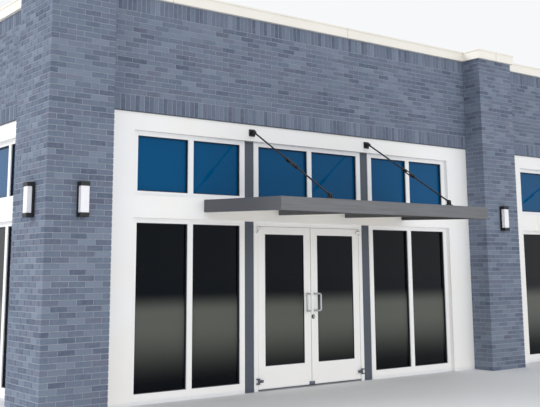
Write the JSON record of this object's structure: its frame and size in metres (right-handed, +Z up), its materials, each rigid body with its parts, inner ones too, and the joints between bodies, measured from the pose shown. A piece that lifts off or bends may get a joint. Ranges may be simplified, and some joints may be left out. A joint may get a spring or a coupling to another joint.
{
  "type": "veterinary hospital",
  "caption": "Single-storey brick clinic with projecting piers, white surrounds round large windows, steel canopies on tie rods and outward-opening double doors.",
  "frame": {"origin": "middle of the footprint at ground level, on the underside of the floor", "axes": "+X along the front to the right, +Y from the front to the rear, +Z up"},
  "size_m": [15.972, 16.376, 5.142],
  "materials": {
    "brick": "blue-grey clay face brick in running bond, matt",
    "coping": "warm white coated sheet, satin",
    "surround": "white painted panel, satin",
    "frame": "white powder-coated aluminium, satin",
    "steel": "slate grey painted steel, satin",
    "deck": "dark grey ribbed steel sheet, satin",
    "black_steel": "black painted steel, satin",
    "glass": "tinted insulating glass, polished",
    "lens": "white opal acrylic, satin",
    "pull_metal": "satin stainless steel, fine brushed",
    "lock_metal": "dark bronze, satin",
    "concrete": "power-floated concrete, matt",
    "roofing": "pale single-ply roof membrane, matt"
  },
  "bodies": {
    "building": {"canopy_beams": "steel", "canopy_decks": "deck", "canopy_fascias": "steel", "canopy_ledgers": "steel", "door_head": "frame", "door_jambs": "frame", "door_pivots": "lock_metal", "door_threshold": "lock_metal", "floor_slab": "concrete", "front_brick_spandrels": "brick", "front_coping": "coping", "front_left_corner_pier": "brick", "front_posts": "steel", "front_right_corner_pier": "brick", "front_surround_heads": "surround", "front_surround_jambs": "surround", "front_surround_mid_panels": "surround", "front_window_frames": "frame", "front_window_glass": "glass", "left_coping": "coping", "pilasters": "brick", "rear_coping": "coping", "rear_left_corner_pier": "brick", "rear_right_corner_pier": "brick", "right_coping": "coping", "roof_deck": "roofing", "sconce_bodies": "black_steel", "sconce_lenses": "lens", "side_and_rear_brick_spandrels": "brick", "side_and_rear_posts": "steel", "side_and_rear_surround_heads": "surround", "side_and_rear_surround_jambs": "surround", "side_and_rear_surround_mid_panels": "surround", "side_and_rear_window_frames": "frame", "side_and_rear_window_glass": "glass", "steel_lintels": "steel", "tie_rod_brackets": "black_steel", "tie_rods": "black_steel"},
    "left_door": {"left_door_leaf": "frame", "left_door_glass": "glass", "left_door_pull": "pull_metal"},
    "right_door": {"right_door_leaf": "frame", "right_door_glass": "glass", "right_door_pull": "pull_metal", "door_lock": "lock_metal"}
  },
  "joints": [
    {"name": "left_door_hinge", "type": "hinge", "parent": "building", "child": "left_door", "pos_m": [-4.6615, -7.119, 0], "axis": [0, 0, -1], "range_deg": [0, 90]},
    {"name": "right_door_hinge", "type": "hinge", "parent": "building", "child": "right_door", "pos_m": [-2.8185, -7.119, 0], "axis": [0, 0, 1], "range_deg": [0, 90]}
  ]
}
